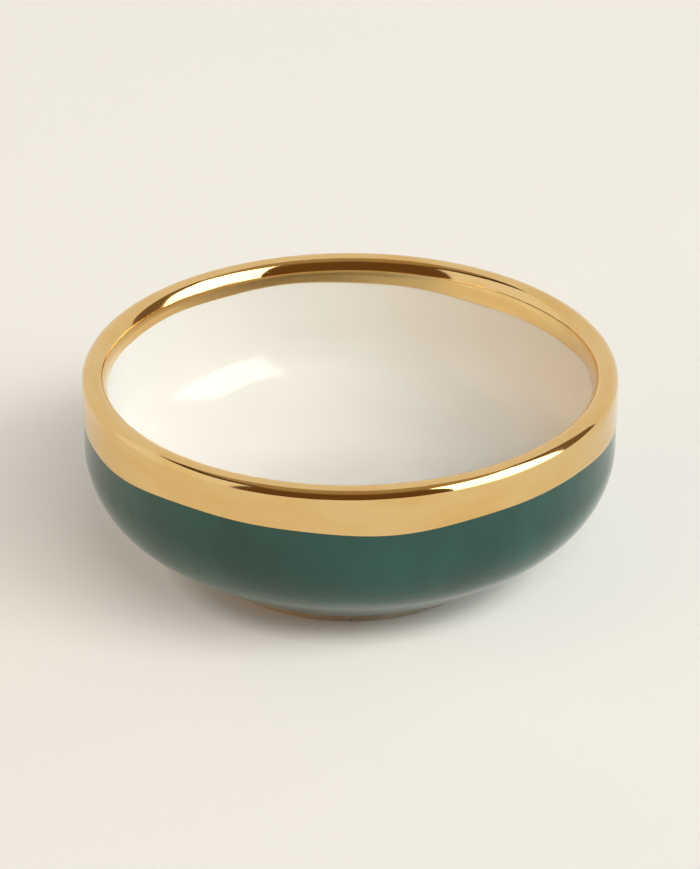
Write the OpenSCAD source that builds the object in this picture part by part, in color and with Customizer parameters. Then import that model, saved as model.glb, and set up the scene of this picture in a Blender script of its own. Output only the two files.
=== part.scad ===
/* [Overall] */
// Widest diameter, across the gold band
dish_d = 110; // [96:1:126]
// Height from the table to the crown of the lip
dish_h = 43.5; // [40:0.5:52]
// Thickness of the wall with its glazes
wall_t = 4.9; // [4.4:0.1:5.4]

/* [Outline of the bowl] */
// Slope of the bowl where it leaves the foot, in degrees from level
foot_slope = 0; // [0:0.5:8]
// Slope where the turn above the foot runs into the flank
flank_slope = 33; // [31:0.5:35]
// Slope where the flank runs into the shoulder
shoulder_slope = 38.5; // [37.5:0.5:42]
// Radius of the turn above the foot
base_turn_r = 12; // [9:0.5:15]
// Radius of the shoulder under the straight wall
shoulder_r = 18.2; // [13:0.2:21]
// Radius of the wider turn between the inside floor and the flank
in_turn_r = 30; // [26:1:34]
// Slope where the inside turn runs into the flank
in_turn_slope = 35; // [34:0.5:36.5]
// Slope of the inside floor where it meets the turn
floor_slope = 2; // [1:0.25:4]

/* [Lip] */
// Radius of the lip over its crown and down its outer side
lip_r = 2.25; // [1.9:0.05:2.4]
// Radius by which the lip's inner side eases into the wall
ease_r = 4.3; // [3.6:0.1:6]

/* [Foot] */
// Diameter of the turned foot where it meets the bowl
foot_d = 61; // [56:1:66]
// Height of the foot under the bowl
foot_h = 3.3; // [2.7:0.1:4]
// Width of the foot at the table
foot_w = 3; // [2.2:0.1:5]
// How far the foot's outer side leans in from top to bottom
foot_lean = 0.4; // [0:0.1:0.8]
// Rounding of the foot's two bottom edges
foot_round = 0.4; // [0.2:0.05:0.5]
// Depth of the recess inside the foot, in the bare clay
recess_h = 1.8; // [1.3:0.1:2.3]
// Rounding between the recess and the foot's inner side
recess_round = 0.6; // [0.3:0.1:0.7]

/* [Coats] */
// Thickness of each glaze
glaze_t = 0.35; // [0.25:0.05:0.5]
// Thickness that stands for the gold film
gold_t = 0.15; // [0.12:0.01:0.2]
// Bare clay between the foot and the rolled edge of the green glaze
bare_strip = 0.5; // [0.2:0.1:1.2]
// Bare clay between the recess glaze and the foot's inner side
recess_bare = 1.2; // [1:0.1:2.5]

/* [Gold edges] */
// Mean depth of the gold below the crown, outside
gold_out = 9.4; // [7.5:0.1:11]
// Mean depth of the gold below the crown, inside
gold_in = 5.5; // [4.8:0.1:7]
// Height of the long waves that the brush left in the outer edge
out_wave = 0.6; // [0.1:0.05:0.8]
// How far the outer edge dips towards one side of the dish
out_dip = 0.25; // [0:0.05:0.4]
// Height of the long waves in the inner edge
in_wave = 0.85; // [0.1:0.05:0.9]
// Height of the shorter swells on the inner edge's long waves
in_swell = 0.35; // [0:0.05:0.4]
// Height of the short ripples in both edges
ripple = 0.15; // [0.05:0.05:0.25]

/* [Hidden] */
$fn = 180;

// Clearance by which a cutting body passes the faces it cuts through
pass = 1;
// Degrees between two points of an arc of the wall, of the lip and of a small rounding, and the steps
// in which the inside floor's wide arc is drawn
wall_step = 2;
lip_step = 5;
round_step = 15;
floor_steps = 6;
// Stations round the dish along a painted edge
edge_stations = 120;

// Largest share of the wall that the lip's radius may take up
lip_share = 0.48;

// Waves and ripples round the dish in the outer and the inner edge, and the degrees by which each is turned
out_waves = 5;
out_wave_turn = 145;
out_dip_turn = -47;
out_ripples = 11;
out_ripple_turn = -104;
in_waves = 2;
in_wave_turn = -18;
in_swells = 4;
in_swell_turn = -87;
in_ripples = 11;
in_ripple_turn = 180;

// The glaze surface is the reference outline: clay lies inside it and gold lies on it
wall_r = dish_d / 2 - gold_t;
inner_r = wall_r - wall_t;
foot_r = foot_d / 2;

// Centres of the outline's arcs, each found by following the arc before it
base_c = [foot_r - base_turn_r * sin(foot_slope), foot_h + base_turn_r * cos(foot_slope)];
shoulder_run = shoulder_r * (1 - sin(shoulder_slope));
base_run = base_turn_r * (sin(flank_slope) - sin(foot_slope));
flank_run = wall_r - foot_r - base_run - shoulder_run;
flank_r = flank_run / (sin(shoulder_slope) - sin(flank_slope));
flank_c = base_c + (flank_r - base_turn_r) * [-sin(flank_slope), cos(flank_slope)];
shoulder_c = flank_c + (flank_r - shoulder_r) * [sin(shoulder_slope), -cos(shoulder_slope)];

// The lip turns over in one small arc, then a wider one brings its inner side down to the wall
crown_r = min(lip_r, lip_share * wall_t);
lip_c = [wall_r - crown_r, dish_h - gold_t - crown_r];
ease_slope = 180 + asin((ease_r + crown_r - wall_t) / (ease_r - crown_r));
ease_c = on_slope(lip_c, crown_r - ease_r, ease_slope);

// The inside has its own wider turn, and its floor is one wide arc centred on the dish's axis
in_turn_c = on_slope(flank_c, flank_r - wall_t - in_turn_r, in_turn_slope);
floor_edge = on_slope(in_turn_c, in_turn_r, floor_slope);
floor_r = floor_edge[0] / sin(floor_slope);
floor_c = [0, floor_edge[1] + floor_r * cos(floor_slope)];

// Where the green glaze ends above the foot, and where its rolled edge begins
clay_turn_r = base_turn_r - glaze_t;
degrees_per_mm = 180 / (PI * clay_turn_r);
roll_tip_slope = foot_slope + bare_strip * degrees_per_mm;
roll_top_slope = roll_tip_slope + glaze_t * degrees_per_mm;

// A point on an arc where the outline has the given slope
function on_slope(centre, radius, slope) = centre + radius * [sin(slope), -cos(slope)];

// Points along an arc from one slope to another, both ends included
function sweep(centre, radius, from, to, step) =
    concat([on_slope(centre, radius, from)], onward(centre, radius, from, to, step));

// The same arc without its first point, where it carries on from an arc before it
function onward(centre, radius, from, to, step) =
    let (count = max(1, ceil(abs(to - from) / step)))
    [for (i = [1:count]) on_slope(centre, radius, from + (to - from) * i / count)];

// The highest point of the lip, set off from the glaze surface by grow
function crown(grow) = on_slope(lip_c, crown_r + grow, 180);

// The lip's outer side up to its crown, and its inner side from just past the crown down to the wall
function lip_outside(grow) = sweep(lip_c, crown_r + grow, 90, 180, lip_step);
function lip_inside(grow) = concat(
    onward(lip_c, crown_r + grow, 180, ease_slope, lip_step),
    onward(ease_c, ease_r + grow, ease_slope, 270, lip_step)
);

// The outside from the glaze's edge up to the crown
function outside(grow) = concat(
    sweep(base_c, base_turn_r + grow, roll_top_slope, flank_slope, wall_step),
    onward(flank_c, flank_r + grow, flank_slope, shoulder_slope, wall_step),
    onward(shoulder_c, shoulder_r + grow, shoulder_slope, 90, wall_step),
    lip_outside(grow)
);

// The inside from just past the crown down to the middle of the floor
function inside(grow) = concat(
    lip_inside(grow),
    sweep(shoulder_c, shoulder_r - wall_t - grow, 90, shoulder_slope, wall_step),
    onward(flank_c, flank_r - wall_t - grow, shoulder_slope, in_turn_slope, wall_step),
    onward(in_turn_c, in_turn_r - grow, in_turn_slope, floor_slope, wall_step),
    onward(floor_c, floor_r - grow, floor_slope, 0, floor_slope / floor_steps)
);

// Closes the space between two outlines that run the same way
function between(inner, outer) = concat(inner, [for (i = [len(outer) - 1:-1:0]) outer[i]]);

// The rounded edge in which the green glaze ends, from just off the clay up to its surface
function glaze_roll() = [
    for (turn = [90 - round_step:-round_step:round_step])
        on_slope(
            base_c,
            clay_turn_r + glaze_t * cos(turn),
            roll_top_slope - glaze_t * degrees_per_mm * sin(turn)
        )
];

// The foot from the recess out to the bowl: two small roundings with the bearing face between
foot_out = foot_r - foot_lean;
foot_in = foot_out - foot_w;
function foot_outline() = concat(
    [[0, recess_h]],
    sweep([foot_in - recess_round, recess_h - recess_round], recess_round, 180, 90, round_step),
    sweep([foot_in + foot_round, foot_round], foot_round, -90, 0, round_step),
    sweep([foot_out - foot_round, foot_round], foot_round, 0, 90, round_step),
    [on_slope(base_c, clay_turn_r, foot_slope), on_slope(base_c, clay_turn_r, roll_tip_slope)]
);

// Depth of each painted edge below the crown at a bearing round the dish
function out_depth(a) = gold_out
    + out_wave * sin(out_waves * a + out_wave_turn)
    + out_dip * sin(a + out_dip_turn)
    + ripple * sin(out_ripples * a + out_ripple_turn);
function in_depth(a) = gold_in
    + in_wave * sin(in_waves * a + in_wave_turn)
    + in_swell * sin(in_swells * a + in_swell_turn)
    + ripple * sin(in_ripples * a + in_ripple_turn);

// A sleeve with a level bottom whose top follows a painted edge
module below_edge(r1, r2, bottom, tops) {
    n = len(tops);
    function ring(r, i) = r * [cos(360 * i / n), sin(360 * i / n)];
    corners = [
        for (i = [0:n - 1])
            for (k = [0:3])
                let (p = ring(k == 0 || k == 3 ? r1 : r2, i))
                [p[0], p[1], k < 2 ? bottom : tops[i]]
    ];
    sides = [
        for (i = [0:n - 1])
            for (k = [0:3])
                let (a = 4 * i + k, b = 4 * i + (k + 1) % 4)
                let (c = 4 * ((i + 1) % n) + k, d = 4 * ((i + 1) % n) + (k + 1) % 4)
                each [[a, b, d], [a, d, c]]
    ];
    polyhedron(corners, sides);
}

module clay_body() {
    color([0.90, 0.84, 0.73])
    rotate_extrude()
    polygon(concat(foot_outline(), outside(-glaze_t), inside(-glaze_t)));
}

module ivory_liner_glaze() {
    color([0.95, 0.93, 0.87])
    rotate_extrude()
    polygon(between(
        concat([crown(-glaze_t)], inside(-glaze_t)),
        concat([crown(0)], inside(0))
    ));
}

module green_outer_glaze() {
    color([0.16, 0.31, 0.27])
    rotate_extrude()
    polygon(between(
        concat([on_slope(base_c, clay_turn_r, roll_tip_slope)], outside(-glaze_t)),
        concat(glaze_roll(), outside(0))
    ));
}

module green_base_glaze() {
    patch_r = foot_in - recess_bare;
    color([0.16, 0.31, 0.27])
    rotate_extrude()
    polygon(concat(
        [[0, recess_h], [0, recess_h - glaze_t]],
        sweep([patch_r - glaze_t, recess_h], glaze_t, 0, 90, round_step)
    ));
}

// The film's face at one height off the glaze, from the low outer edge over the lip to the inner one
function film_face(grow, lowest) = concat(
    [[wall_r + grow, lowest]],
    lip_outside(grow),
    lip_inside(grow),
    [[inner_r - grow, lowest]]
);

module gold_rim_band() {
    deepest = max(gold_out + out_wave + out_dip, gold_in + in_wave + in_swell) + ripple;
    lowest = dish_h - deepest - pass;
    bearings = [for (i = [0:edge_stations - 1]) 360 * i / edge_stations];
    out_edge = [for (a = bearings) dish_h - out_depth(a)];
    in_edge = [for (a = bearings) dish_h - in_depth(a)];
    color([0.83, 0.67, 0.35])
    difference() {
        rotate_extrude()
        polygon(between(film_face(0, lowest), film_face(gold_t, lowest)));
        below_edge(lip_c[0], dish_d / 2 + pass, lowest - pass, out_edge);
        below_edge(inner_r - gold_t - pass, lip_c[0], lowest - pass, in_edge);
    }
}

clay_body();
ivory_liner_glaze();
green_outer_glaze();
green_base_glaze();
gold_rim_band();
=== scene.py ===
# %% [markdown]
# # A ring dish with a gold rim
#
# The real object is a small stoneware bowl for rings. It was thrown on a wheel, glazed ivory inside and deep
# green outside, and a broad band of gold was brushed over its lip and fired on. In this lesson the packed
# frame gives the place and the size of every layer, and each layer is turned again with finer steps, so that
# the gloss runs over it without facets. Everything is in metres.

# %% Load the frame
import math

import bmesh
import bpy
from mathutils import Matrix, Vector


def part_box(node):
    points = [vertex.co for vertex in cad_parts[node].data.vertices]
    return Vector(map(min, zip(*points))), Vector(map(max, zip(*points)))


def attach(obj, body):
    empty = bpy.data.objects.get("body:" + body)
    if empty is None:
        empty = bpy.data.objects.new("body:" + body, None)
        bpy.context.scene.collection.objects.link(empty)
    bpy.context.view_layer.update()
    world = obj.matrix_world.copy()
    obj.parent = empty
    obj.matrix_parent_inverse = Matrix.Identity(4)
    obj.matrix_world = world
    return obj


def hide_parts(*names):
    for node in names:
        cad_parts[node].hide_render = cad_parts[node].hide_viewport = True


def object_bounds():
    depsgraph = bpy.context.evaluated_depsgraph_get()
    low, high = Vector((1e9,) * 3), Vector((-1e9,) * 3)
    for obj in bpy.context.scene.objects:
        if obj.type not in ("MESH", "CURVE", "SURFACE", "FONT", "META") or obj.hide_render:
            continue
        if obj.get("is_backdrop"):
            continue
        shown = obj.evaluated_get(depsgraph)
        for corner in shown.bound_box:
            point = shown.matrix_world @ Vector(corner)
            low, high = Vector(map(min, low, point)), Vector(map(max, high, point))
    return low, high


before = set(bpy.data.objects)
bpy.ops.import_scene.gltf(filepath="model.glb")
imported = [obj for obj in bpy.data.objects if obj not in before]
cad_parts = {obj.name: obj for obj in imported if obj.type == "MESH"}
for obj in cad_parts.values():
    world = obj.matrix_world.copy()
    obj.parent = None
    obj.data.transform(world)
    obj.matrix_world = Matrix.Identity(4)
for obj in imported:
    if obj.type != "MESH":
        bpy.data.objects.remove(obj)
CAD_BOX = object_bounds()
print("frame nodes:", sorted(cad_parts))

# %% [markdown]
# ## The sizes that every layer shares
#
# A bowl like this is drawn as one outline: a tight turn above the foot, a slack flank, a round shoulder, a
# straight wall and a lip that turns over in a small arc and eases into the inside in a wider one. The inside
# keeps the wall's thickness down the flank and has a wider turn of its own into the floor. Each of them is
# an arc, and each arc starts where the one before it ends. The widest radius and the height are read from
# the frame, and the rest are the potter's own sizes. The glaze surface is the reference: the clay lies one
# glaze thickness inside it, and the gold film lies on it.

# %% Sizes of the outline
MM = 0.001
GLAZE = 0.35 * MM
FILM = 0.15 * MM
WALL = 4.9 * MM
gold_low, gold_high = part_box("gold_rim_band")
CROWN = gold_high.z
WALL_R = gold_high.x - FILM
LIP_R = 2.25 * MM
EASE_R = 4.3 * MM
LIP = (WALL_R - LIP_R, CROWN - FILM - LIP_R)

FOOT_R = 30.5 * MM
FOOT_H = 3.3 * MM
FOOT_SLOPE, FLANK_SLOPE, SHOULDER_SLOPE = 0, 33, 38.5
IN_TURN_SLOPE, FLOOR_SLOPE = 35, 2
TURN_R = 12 * MM
IN_TURN_R = 30 * MM
SHOULDER_R = 18.2 * MM


def on_arc(centre, radius, slope):
    """The point of an arc where its outline has this slope, in degrees from level."""
    turn = math.radians(slope)
    return centre[0] + radius * math.sin(turn), centre[1] - radius * math.cos(turn)


def sine(slope):
    return math.sin(math.radians(slope))


EASE_SLOPE = 180 + math.degrees(math.asin((EASE_R + LIP_R - WALL) / (EASE_R - LIP_R)))
EASE = on_arc(LIP, LIP_R - EASE_R, EASE_SLOPE)
TURN = (FOOT_R - TURN_R * sine(FOOT_SLOPE), FOOT_H + TURN_R * math.cos(math.radians(FOOT_SLOPE)))
flank_run = (
    WALL_R
    - FOOT_R
    - TURN_R * (sine(FLANK_SLOPE) - sine(FOOT_SLOPE))
    - SHOULDER_R * (1 - sine(SHOULDER_SLOPE))
)
FLANK_R = flank_run / (sine(SHOULDER_SLOPE) - sine(FLANK_SLOPE))
FLANK = on_arc(TURN, TURN_R - FLANK_R, FLANK_SLOPE)
SHOULDER = on_arc(FLANK, FLANK_R - SHOULDER_R, SHOULDER_SLOPE)
IN_TURN = on_arc(FLANK, FLANK_R - WALL - IN_TURN_R, IN_TURN_SLOPE)
floor_edge = on_arc(IN_TURN, IN_TURN_R, FLOOR_SLOPE)
FLOOR_R = floor_edge[0] / sine(FLOOR_SLOPE)
FLOOR = (0, floor_edge[1] + FLOOR_R * math.cos(math.radians(FLOOR_SLOPE)))
print(f"flank radius {FLANK_R / MM:.2f} mm, shoulder centre at height {SHOULDER[1] / MM:.2f} mm")
print(f"the lip eases into the wall from a slope of {EASE_SLOPE:.1f} degrees")

# %% [markdown]
# ## A compass, a ruler and a lathe
#
# The outline could be typed in as a long list of points, but then nobody could read it or change it. Here a
# single vertex is swung about each arc's centre with the spin operator, as a draughtsman swings a compass,
# and drawn along straight stretches with an extrusion. The finished outline is then spun once round the
# dish's axis. A full spin merges its seam, and the vertices on the axis are merged into one pole each.

# %% The three tools
TURN_STEPS = 256
FINE, LIP_FINE, EDGE_FINE = 1.0, 4.0, 15.0


def start_outline(x, z):
    """A new mesh with one vertex, which is the tip of the pencil."""
    bm = bmesh.new()
    return bm, bm.verts.new((x, 0, z))


def compass(bm, tip, centre, from_slope, to_slope, fineness):
    """Swings the tip about an arc's centre and returns the new tip."""
    turned = to_slope - from_slope
    swung = bmesh.ops.spin(
        bm,
        geom=[tip],
        cent=(centre[0], 0, centre[1]),
        axis=(0, -1, 0),
        angle=math.radians(turned),
        steps=max(1, math.ceil(abs(turned) / fineness)),
    )
    return next(v for v in swung["geom_last"] if isinstance(v, bmesh.types.BMVert))


def ruler(bm, tip, x, z, parts=1):
    """Draws a straight stretch from the tip and returns the new tip."""
    start = tip.co.copy()
    for i in range(1, parts + 1):
        tip = bmesh.ops.extrude_vert_indiv(bm, verts=[tip])["verts"][0]
        tip.co = start.lerp((x, 0, z), i / parts)
    return tip


def outside(bm, tip):
    """From the turn above the foot up the outside of the wall to the crown of the lip."""
    tip = compass(bm, tip, FLANK, FLANK_SLOPE, SHOULDER_SLOPE, FINE / 2)
    tip = compass(bm, tip, SHOULDER, SHOULDER_SLOPE, 90, FINE * 2)
    tip = ruler(bm, tip, tip.co.x, LIP[1], 4)
    return compass(bm, tip, LIP, 90, 180, LIP_FINE)


def inside(bm, tip):
    """From the crown of the lip down the wall and across the floor to the axis."""
    tip = compass(bm, tip, LIP, 180, EASE_SLOPE, LIP_FINE)
    tip = compass(bm, tip, EASE, EASE_SLOPE, 270, LIP_FINE)
    tip = ruler(bm, tip, tip.co.x, SHOULDER[1], 4)
    tip = compass(bm, tip, SHOULDER, 90, SHOULDER_SLOPE, FINE * 2)
    tip = compass(bm, tip, FLANK, SHOULDER_SLOPE, IN_TURN_SLOPE, FINE / 2)
    tip = compass(bm, tip, IN_TURN, IN_TURN_SLOPE, FLOOR_SLOPE, FINE)
    return compass(bm, tip, FLOOR, FLOOR_SLOPE, 0, FLOOR_SLOPE / 8)


def lathe(bm):
    """Turns the outline once round the dish's axis and closes the seam and the poles."""
    bmesh.ops.spin(
        bm,
        geom=bm.verts[:] + bm.edges[:],
        cent=(0, 0, 0),
        axis=(0, 0, 1),
        angle=2 * math.pi,
        steps=TURN_STEPS,
        use_merge=True,
    )
    bmesh.ops.remove_doubles(bm, verts=bm.verts[:], dist=0.001 * MM)
    bmesh.ops.recalc_face_normals(bm, faces=bm.faces[:])


def make_piece(name, bm, node):
    """Turns a finished mesh into a piece that stands for its CAD node and rides on the dish's body."""
    if bm.calc_volume(signed=True) < 0:
        bmesh.ops.reverse_faces(bm, faces=bm.faces[:])
    open_edges = sum(1 for e in bm.edges if len(e.link_faces) != 2)
    volume = bm.calc_volume(signed=True) / MM**3
    triangles = sum(len(f.verts) - 2 for f in bm.faces)
    print(f"{name}: {triangles} triangles, {volume:.1f} mm3, {open_edges} open edges")
    for face in bm.faces:
        face.smooth = True
    mesh = bpy.data.meshes.new(name)
    bm.to_mesh(mesh)
    bm.free()
    mesh.set_sharp_from_angle(angle=math.radians(50))
    piece = bpy.data.objects.new(name, mesh)
    bpy.context.scene.collection.objects.link(piece)
    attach(piece, "root")
    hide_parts(node)
    return piece


# %% [markdown]
# ## The clay bowl
#
# The body was thrown with a thick bottom and turned over, and the foot ring was cut from it with a loop tool.
# That is why the foot has two small rounded edges, a bearing face between them and a shallow recess inside.
# The outline runs from the middle of the recess, round the foot, up the outside, over the lip and down
# the inside to the axis, so one full spin makes a closed body.

# %% Foot and body
FOOT_W = 3 * MM
FOOT_LEAN = 0.4 * MM
FOOT_ROUND = 0.4 * MM
RECESS_H = 1.8 * MM
RECESS_ROUND = 0.6 * MM
foot_out = FOOT_R - FOOT_LEAN
foot_in = foot_out - FOOT_W

bm, tip = start_outline(0, RECESS_H)
tip = ruler(bm, tip, foot_in - RECESS_ROUND, RECESS_H, 12)
tip = compass(bm, tip, (foot_in - RECESS_ROUND, RECESS_H - RECESS_ROUND), 180, 90, EDGE_FINE)
tip = ruler(bm, tip, foot_in, FOOT_ROUND)
tip = compass(bm, tip, (foot_in + FOOT_ROUND, FOOT_ROUND), -90, 0, EDGE_FINE)
tip = ruler(bm, tip, foot_out - FOOT_ROUND, 0, 3)
tip = compass(bm, tip, (foot_out - FOOT_ROUND, FOOT_ROUND), 0, 90, EDGE_FINE)
tip = ruler(bm, tip, *on_arc(TURN, TURN_R - GLAZE, FOOT_SLOPE))
tip = compass(bm, tip, TURN, FOOT_SLOPE, FLANK_SLOPE, FINE)
tip = outside(bm, tip)
tip = inside(bm, tip)
tip.co.x = 0
lathe(bm)
clay = make_piece("clay_bowl", bm, "clay_body")

# %% [markdown]
# ## The two glazes on the bowl
#
# Glaze is poured in and poured on as a milky coat and melts to a skin of glass. The ivory lines the inside as
# far as the crown of the lip, and the green covers the outside. Above the foot the green draws back from the
# wiped clay and ends in a soft roll. Each coat could be the clay's surface with a thickness modifier, but a
# closed outline is more exact: it runs along the coat's face, over its rolled edge and back along the clay.

# %% Ivory liner
bm, first = start_outline(*on_arc(LIP, LIP_R - GLAZE, 180))
tip = ruler(bm, first, *on_arc(LIP, LIP_R, 180))
tip = inside(bm, tip)
tip.co.x = 0
# The coat's underside is the same outline, drawn again one glaze thickness deeper
tip = inside(bm, first)
tip.co.x = 0
lathe(bm)
ivory = make_piece("ivory_liner", bm, "ivory_liner_glaze")

# %% Green outer coat with its rolled edge
BARE_STRIP = 0.5 * MM
per_metre = 180 / (math.pi * (TURN_R - GLAZE))
roll_slope = FOOT_SLOPE + BARE_STRIP * per_metre
roll_top = roll_slope + GLAZE * per_metre
bm, first = start_outline(*on_arc(TURN, TURN_R - GLAZE, roll_slope))
roll_centre = on_arc(TURN, TURN_R - GLAZE, roll_top)
tip = compass(bm, first, roll_centre, roll_top - 90, roll_top, EDGE_FINE)
tip = compass(bm, tip, TURN, roll_top, FLANK_SLOPE, FINE)
tip = outside(bm, tip)
top = tip
tip = compass(bm, first, TURN, roll_slope, FLANK_SLOPE, FINE)
tip = outside(bm, tip)
bm.edges.new((tip, top))
lathe(bm)
green = make_piece("green_coat", bm, "green_outer_glaze")

# %% Green patch in the recess
RECESS_BARE = 1.2 * MM
patch_r = foot_in - RECESS_BARE
bm, first = start_outline(0, RECESS_H)
tip = ruler(bm, first, 0, RECESS_H - GLAZE)
tip = ruler(bm, tip, patch_r - GLAZE, RECESS_H - GLAZE, 12)
tip = compass(bm, tip, (patch_r - GLAZE, RECESS_H), 0, 90, EDGE_FINE)
tip = ruler(bm, tip, 0, RECESS_H, 12)
lathe(bm)
patch = make_piece("green_patch", bm, "green_base_glaze")

# %% [markdown]
# ## The gold film
#
# Liquid gold is brushed over the glazed lip with the dish turning on a banding wheel, and fired a second time.
# The brush never holds quite the same height, so both edges of the band wander, and the film ends in a
# thin round bead. The film is turned as a level band first. Then each vertex below the lip is moved down or
# up by the depth of the edge at its bearing, which keeps the bead whole all the way round.

# %% The wandering edges
OUT_DEPTH, IN_DEPTH = 9.4 * MM, 5.5 * MM


def wave(bearing, height, count, turned):
    """One wave round the dish, of this height in mm, this count and this turn in degrees."""
    return height * MM * math.sin(count * bearing + math.radians(turned))


def out_depth(bearing):
    """How far below the crown the outer edge lies at a bearing."""
    return OUT_DEPTH + wave(bearing, 0.6, 5, 145) + wave(bearing, 0.25, 1, -47) + wave(bearing, 0.15, 11, -104)


def in_depth(bearing):
    """How far below the crown the inner edge lies at a bearing."""
    return IN_DEPTH + wave(bearing, 0.85, 2, -18) + wave(bearing, 0.35, 4, -87) + wave(bearing, 0.15, 11, 180)


# %% Turn the film and let its edges wander
bead = FILM / 2
INNER_R = WALL_R - WALL
out_start, in_start = CROWN - OUT_DEPTH + bead, CROWN - IN_DEPTH + bead
bm, first = start_outline(WALL_R, out_start)
tip = compass(bm, first, (WALL_R + bead, out_start), -90, 90, EDGE_FINE * 2)
tip = ruler(bm, tip, tip.co.x, LIP[1], 12)
tip = compass(bm, tip, LIP, 90, EASE_SLOPE, LIP_FINE)
tip = compass(bm, tip, EASE, EASE_SLOPE, 270, LIP_FINE)
tip = ruler(bm, tip, tip.co.x, in_start, 6)
tip = compass(bm, tip, (INNER_R - bead, in_start), -90, 90, EDGE_FINE * 2)
tip = ruler(bm, tip, tip.co.x, EASE[1], 6)
tip = compass(bm, tip, EASE, 270, EASE_SLOPE, LIP_FINE)
tip = compass(bm, tip, LIP, EASE_SLOPE, 90, LIP_FINE)
tip = ruler(bm, tip, tip.co.x, out_start, 12)
lathe(bm)

EASE_LEAN = math.radians(EASE_SLOPE - 90)


def across(radius, height):
    """How far across the band a point lies: falling over the lip from 0 at the outside, rising below it."""
    if radius > LIP[0] and height < LIP[1]:
        return LIP[1] - height
    lean = math.atan2(height - LIP[1], radius - LIP[0])
    if 0 <= lean < EASE_LEAN:
        return -LIP_R * lean
    below = max(0, EASE[1] - height)
    lean = math.pi if below else math.atan2(height - EASE[1], radius - EASE[0])
    return -LIP_R * EASE_LEAN - EASE_R * (lean - EASE_LEAN) - below


along = bm.verts.layers.float.new("along")
for v in bm.verts:
    bearing = math.atan2(v.co.y, v.co.x)
    radius = math.hypot(v.co.x, v.co.y)
    outer = radius > LIP[0]
    hinge, mean, depth = (LIP[1], OUT_DEPTH, out_depth) if outer else (EASE[1], IN_DEPTH, in_depth)
    drop = hinge - v.co.z
    if drop > 0:
        v.co.z = hinge - drop * (depth(bearing) + hinge - CROWN) / (mean + hinge - CROWN)
    v[along] = across(radius, v.co.z)
width = [f(v[along] for v in bm.verts) / MM for f in (min, max)]
print(f"the band runs from {width[0]:.1f} to {width[1]:.1f} mm across the lip")
gold = make_piece("gold_band", bm, "gold_rim_band")

# %% [markdown]
# ## Materials
#
# Every finish here is made by fire, so none of them is even. A small helper adds nodes and joins them, so
# that each recipe below reads from the pattern to the shader. All patterns are read from the object's own
# coordinates in metres, and a scale of 1000 therefore means about one mark in each millimetre.

# %% Helpers for materials
def new_material(name):
    """An empty material with its shader, ready to be painted."""
    material = bpy.data.materials.new(name)
    material.use_nodes = True
    nodes = material.node_tree.nodes
    return material, nodes, material.node_tree.links, nodes["Principled BSDF"]


def add(nodes, kind, **values):
    """A node of this kind, with its own settings and then its sockets filled in by name."""
    node = nodes.new(kind)
    for key, value in values.items():
        socket = next((s for s in node.inputs if s.name.replace(" ", "_") == key), None)
        if socket is None:
            setattr(node, key, value)
        else:
            socket.default_value = value
    return node


def pattern(nodes, links, scale, detail=3.0, roughness=0.5, stretch=(1, 1, 1)):
    """Cloudy noise on the object's own coordinates, stretched if wanted."""
    place = add(nodes, "ShaderNodeTexCoord")
    mapping = add(nodes, "ShaderNodeMapping", Scale=stretch)
    noise = add(nodes, "ShaderNodeTexNoise", Scale=scale, Detail=detail, Roughness=roughness)
    links.new(place.outputs["Object"], mapping.inputs["Vector"])
    links.new(mapping.outputs["Vector"], noise.inputs["Vector"])
    return noise.outputs["Fac"]


def ramp(nodes, links, factor, stops):
    """A colour ramp from places and colours."""
    node = add(nodes, "ShaderNodeValToRGB")
    elements = node.color_ramp.elements
    while len(elements) < len(stops):
        elements.new(0.5)
    for element, (place, colour) in zip(elements, stops):
        element.position = place
        element.color = (*colour, 1)
    links.new(factor, node.inputs["Fac"])
    return node.outputs["Color"]


def spread(nodes, links, factor, low, high, to_low, to_high):
    """Moves a pattern's values from one range to another."""
    node = add(nodes, "ShaderNodeMapRange", From_Min=low, From_Max=high, To_Min=to_low, To_Max=to_high)
    links.new(factor, node.inputs["Value"])
    return node.outputs["Result"]


def bump(nodes, links, height, distance, strength=1.0, under=None):
    """A bump from a height pattern, laid over another bump if one is given."""
    node = add(nodes, "ShaderNodeBump", Strength=strength, Distance=distance)
    links.new(height, node.inputs["Height"])
    if under is not None:
        links.new(under, node.inputs["Normal"])
    return node.outputs["Normal"]


# %% [markdown]
# ### Bare clay
#
# Where the glaze was wiped off, fired buff stoneware shows: dry, sandy, and flecked with iron. A fine bump
# gives it its grain, and a second, sharper noise picks out the few dark flecks.

# %% Bare clay
material, nodes, links, shader = new_material("bare_stoneware")
cloud = pattern(nodes, links, 180, 4)
clay_colour = ramp(nodes, links, cloud, [(0.35, (0.56, 0.45, 0.32)), (0.65, (0.66, 0.55, 0.41))])
fleck = ramp(nodes, links, pattern(nodes, links, 900, 2), [(0.66, (1, 1, 1)), (0.74, (0.45, 0.32, 0.22))])
mix = add(nodes, "ShaderNodeMix", data_type="RGBA", blend_type="MULTIPLY")
mix.inputs[0].default_value = 1
links.new(clay_colour, mix.inputs[6])
links.new(fleck, mix.inputs[7])
links.new(mix.outputs[2], shader.inputs["Base Color"])
shader.inputs["Roughness"].default_value = 0.85
grain = bump(nodes, links, pattern(nodes, links, 2500, 3), 0.05 * MM)
links.new(grain, shader.inputs["Normal"])
clay.data.materials.append(material)

# %% [markdown]
# ### Ivory glaze
#
# A milky glaze, opaque enough to hide the clay but never a flat white: it is slightly warmer where it lies
# thinner, and its surface is level only to the eye. A very long, very low bump bends its reflections.

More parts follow.
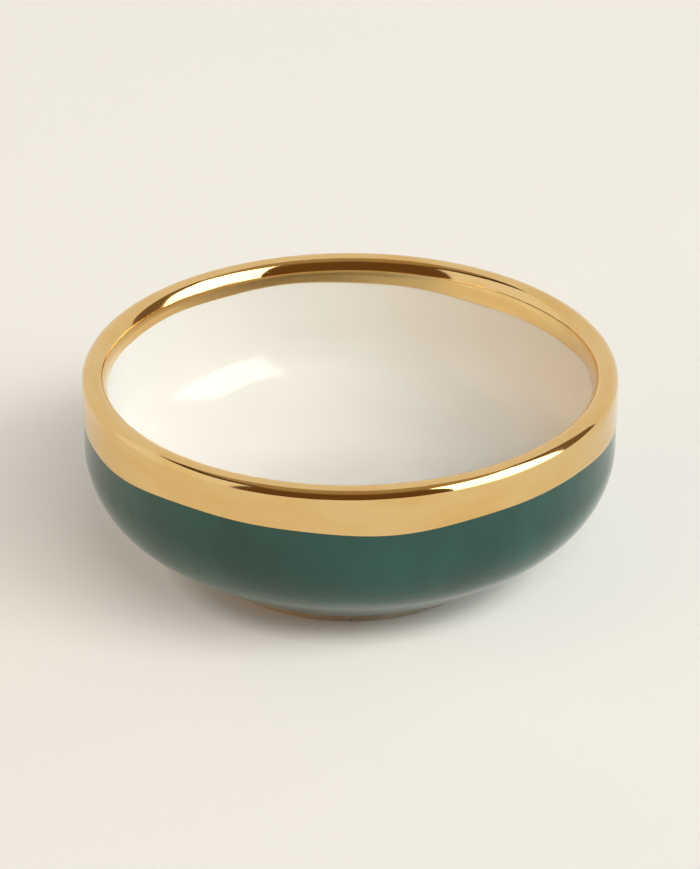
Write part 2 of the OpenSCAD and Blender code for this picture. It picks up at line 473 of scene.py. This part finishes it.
# %% Ivory glaze
material, nodes, links, shader = new_material("ivory_glaze")
milk = pattern(nodes, links, 45, 3)
ivory_colour = ramp(nodes, links, milk, [(0.3, (0.83, 0.805, 0.745)), (0.7, (0.855, 0.83, 0.775))])
links.new(ivory_colour, shader.inputs["Base Color"])
shader.inputs["IOR"].default_value = 1.5
links.new(spread(nodes, links, pattern(nodes, links, 120, 2), 0.3, 0.7, 0.10, 0.16), shader.inputs["Roughness"])
lie = bump(nodes, links, pattern(nodes, links, 60, 1), 0.25 * MM, 0.6)
links.new(lie, shader.inputs["Normal"])
ivory.data.materials.append(material)

# %% [markdown]
# ### Green glaze
#
# The outside is a deep bottle green that gathers darker where the glaze ran thick. It is a glass, so it
# mirrors the pale table strongly at the silhouette and hardly at all where it is seen square on; the
# shader's index of refraction does that by itself.

# %% Green glaze
material, nodes, links, shader = new_material("green_glaze")
pool = pattern(nodes, links, 70, 4, 0.55, (1, 1, 0.6))
green_colour = ramp(nodes, links, pool, [(0.32, (0.008, 0.058, 0.045)), (0.68, (0.014, 0.092, 0.072))])
links.new(green_colour, shader.inputs["Base Color"])
shader.inputs["IOR"].default_value = 1.5
links.new(spread(nodes, links, pattern(nodes, links, 150, 2), 0.3, 0.7, 0.03, 0.06), shader.inputs["Roughness"])
orange_peel = bump(nodes, links, pattern(nodes, links, 90, 2), 0.2 * MM, 0.6)
links.new(orange_peel, shader.inputs["Normal"])
green.data.materials.append(material)
patch.data.materials.append(material)

# %% [markdown]
# ### Fired gold
#
# Gold lustre is a mirror, but a brushed one: the strokes run round the lip and stay as faint ridges, and
# where the film is thinner it turns orange. The pattern therefore has to follow the rim. It reads the
# distance across the band, which was kept on the mesh as "along", and changes quickly with it and slowly
# with the bearing.

# %% Fired gold
material, nodes, links, shader = new_material("gold_lustre")
place = add(nodes, "ShaderNodeTexCoord")
across = add(nodes, "ShaderNodeAttribute", attribute_name="along")
split = add(nodes, "ShaderNodeSeparateXYZ")
joined = add(nodes, "ShaderNodeCombineXYZ")
links.new(place.outputs["Object"], split.inputs[0])
links.new(split.outputs["X"], joined.inputs["X"])
links.new(split.outputs["Y"], joined.inputs["Y"])
links.new(across.outputs["Fac"], joined.inputs["Z"])


def strokes(scale, stretch, detail):
    """Noise that runs round the rim in strokes, from its coordinates along and across the band."""
    mapping = add(nodes, "ShaderNodeMapping", Scale=stretch)
    noise = add(nodes, "ShaderNodeTexNoise", Scale=scale, Detail=detail, Roughness=0.55)
    links.new(joined.outputs["Vector"], mapping.inputs["Vector"])
    links.new(mapping.outputs["Vector"], noise.inputs["Vector"])
    return noise.outputs["Fac"]


thin = strokes(60, (1, 1, 4), 3)
gold_colour = ramp(nodes, links, thin, [(0.3, (0.77, 0.50, 0.19)), (0.6, (0.80, 0.56, 0.25))])
links.new(gold_colour, shader.inputs["Base Color"])
shader.inputs["Metallic"].default_value = 1
links.new(spread(nodes, links, strokes(90, (1, 1, 6), 2), 0.3, 0.7, 0.05, 0.12), shader.inputs["Roughness"])
slow = bump(nodes, links, strokes(80, (1, 1, 3), 1), 0.12 * MM, 0.5)
fine = bump(nodes, links, strokes(220, (1, 1, 8), 2), 0.012 * MM, 0.5, slow)
links.new(fine, shader.inputs["Normal"])
gold.data.materials.append(material)

# %% [markdown]
# ## The studio
#
# The dish stands on a wide pale table. A table like this is never lit by its lamps alone: light goes to and
# fro between it and the pale room, which a small scene leaves out. So the table is painted a little darker
# than it looks and is given a faint glow of its own: painted light in place of the room's light. The glow
# lights nothing. It only shows to the camera and in mirrors, and it dies away in the crevice under the belly,
# where the dish shuts the room out, as painted shade.

# %% The table
TABLE_COLOUR = (0.725, 0.70, 0.655)
# The table's glow is painted light that stands in for the pale room's light
TABLE_PAINTED_LIGHT = (0.27, 0.26, 0.245)
CREVICE = 6 * MM
bm = bmesh.new()
bmesh.ops.create_circle(bm, cap_ends=True, segments=96, radius=12)
mesh = bpy.data.meshes.new("table")
bm.to_mesh(mesh)
bm.free()
table = bpy.data.objects.new("table", mesh)
bpy.context.scene.collection.objects.link(table)
material, nodes, links, shader = new_material("pale_table")
shader.inputs["Base Color"].default_value = (*TABLE_COLOUR, 1)
shader.inputs["Roughness"].default_value = 1
shader.inputs["Specular IOR Level"].default_value = 0


def seen_directly(nodes, links):
    """One for rays from the camera, from a mirror or through glass, and nothing for light that spreads."""
    ray = add(nodes, "ShaderNodeLightPath")
    total = ray.outputs["Is Camera Ray"]
    for name in ("Is Glossy Ray", "Is Transmission Ray"):
        either = add(nodes, "ShaderNodeMath", operation="MAXIMUM")
        links.new(total, either.inputs[0])
        links.new(ray.outputs[name], either.inputs[1])
        total = either.outputs[0]
    return total


# The occlusion node dims the painted light near the dish, which paints shade into the crevice under the belly
shut_out = add(nodes, "ShaderNodeAmbientOcclusion", Distance=CREVICE, Color=(*TABLE_PAINTED_LIGHT, 1))
links.new(shut_out.outputs["Color"], shader.inputs["Emission Color"])
links.new(seen_directly(nodes, links), shader.inputs["Emission Strength"])
table.data.materials.append(material)
table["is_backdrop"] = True

# %% [markdown]
# ## Lamps and cards
#
# A photographer lights such a dish twice. Large lamps light the clay, the glaze and the table. Then cards are
# set up for the gold and the gloss to mirror: white on the left, a tall soft light on the right, and a dark
# front where the camera stands, which gives the gold its deep lines. In a studio each does a bit of both. Here
# they are kept apart, so that either can be changed without the other. Each is a patch of a large sphere
# round the dish, made by spinning an arc, so its place is a range of bearings and of heights. A bearing of 0
# is the front and 90 is the right.

# %% A patch of the sphere round the dish
ROOM_R = 8


def glowing_patch(name, bearings, heights, radiance, distance):
    """A glowing patch of a sphere round the dish, from one bearing and height to another, in degrees."""
    bm = bmesh.new()
    low, high = (math.radians(h) for h in heights)
    bottom = bm.verts.new((0, -distance * math.cos(low), distance * math.sin(low)))
    bmesh.ops.spin(bm, geom=[bottom], cent=(0, 0, 0), axis=(-1, 0, 0), angle=high - low, steps=12)
    start, end = (math.radians(b) for b in bearings)
    bmesh.ops.rotate(bm, verts=bm.verts[:], cent=(0, 0, 0), matrix=Matrix.Rotation(start, 3, "Z"))
    bmesh.ops.spin(
        bm,
        geom=bm.verts[:] + bm.edges[:],
        cent=(0, 0, 0),
        axis=(0, 0, 1),
        angle=end - start,
        steps=16,
    )
    mesh = bpy.data.meshes.new(name)
    bm.to_mesh(mesh)
    bm.free()
    glowing = bpy.data.objects.new(name, mesh)
    bpy.context.scene.collection.objects.link(glowing)
    material = bpy.data.materials.new(name)
    material.use_nodes = True
    nodes = material.node_tree.nodes
    nodes.remove(nodes["Principled BSDF"])
    glow = add(nodes, "ShaderNodeEmission", Strength=1.0)
    glow.inputs["Color"].default_value = (*radiance, 1)
    material.node_tree.links.new(glow.outputs[0], nodes["Material Output"].inputs["Surface"])
    mesh.materials.append(material)
    glowing.visible_camera = False
    glowing.visible_shadow = False
    glowing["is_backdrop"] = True
    return glowing


def lamp(name, bearings, heights, radiance):
    """Lights everything that spreads light, and isn't seen in mirrors."""
    glowing_patch(name, bearings, heights, radiance, ROOM_R).visible_glossy = False


def card(name, bearings, heights, radiance, distance=ROOM_R):
    """Is seen in the gold and the gloss, and lights nothing else."""
    glowing_patch(name, bearings, heights, radiance, distance).visible_diffuse = False


# %% The lamps
lamp("key_lamp", (0, 75), (36, 48), (8.5, 8.4, 8.0))
lamp("key_lamp_top", (0, 60), (48, 60), (3.4, 3.35, 3.2))
lamp("key_lamp_foot", (45, 75), (24, 36), (5.1, 5.0, 4.8))
lamp("right_fill", (60, 150), (12, 24), (2.9, 3.6, 4.0))
lamp("left_fill", (-105, -45), (12, 24), (5.2, 3.5, 2.0))
lamp("ceiling_fill", (-180, 180), (60, 89.9), (0.25, 0.27, 0.32))
lamp("back_fill", (150, 225), (0.5, 24), (1.4, 1.3, 0.5))

# %% The cards
card("soft_light", (42, 95), (1, 52), (4.0, 4.0, 3.95), ROOM_R - 1)
card("white_card", (-112, -48), (0.5, 45), (0.95, 0.93, 0.90))
card("dark_front", (-48, 42), (0.2, 48), (0.15, 0.075, 0.025))
card("brown_ceiling", (-112, 108), (57, 89.9), (0.42, 0.31, 0.18), ROOM_R + 0.5)
card("gap_above_card", (-112, -48), (45, 57), (0.10, 0.06, 0.03))
card("gap_beside_light", (95, 118), (0.5, 57), (0.20, 0.13, 0.07))
card("gap_above_front", (-48, 42), (48, 57), (0.25, 0.16, 0.07))
card("gap_above_light", (42, 95), (52, 57), (0.20, 0.13, 0.07))

# %% The pale room behind it all
WALLS = (0.863, 0.831, 0.776)
world = bpy.data.worlds.new("pale_room")
world.use_nodes = True
room = world.node_tree.nodes["Background"]
room.inputs["Color"].default_value = (*WALLS, 1)
world.node_tree.links.new(seen_directly(world.node_tree.nodes, world.node_tree.links), room.inputs["Strength"])
bpy.context.scene.world = world

# %% [markdown]
# ## The camera
#
# The photograph was taken from the front, a little under thirty degrees above the table, with a long lens from
# close to a metre away. The camera stands where the dish's outline, its lip and its foot all fall in place.

# %% Camera and colour
camera_data = bpy.data.cameras.new("camera")
camera_data.sensor_width = 36
camera_data.lens = 180.4
camera_data.clip_end = 100
camera = bpy.data.objects.new("camera", camera_data)
camera.location = (0, -0.7963, 0.4467)
camera.rotation_euler = (math.radians(62.22), 0, 0)
bpy.context.scene.collection.objects.link(camera)
bpy.context.scene.camera = camera
bpy.context.scene.view_settings.view_transform = "Standard"

# %% [markdown]
# ## The last check
#
# The dressed dish must not be larger than the CAD model, so both boxes are printed side by side.

# %% Print the two boxes
corners = {"cad": CAD_BOX, "visual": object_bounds()}
{name: [list(low), list(high)] for name, (low, high) in corners.items()}
for name, (low, high) in corners.items():
    print(name, [round((b - a) / MM, 3) for a, b in zip(low, high)], "mm")
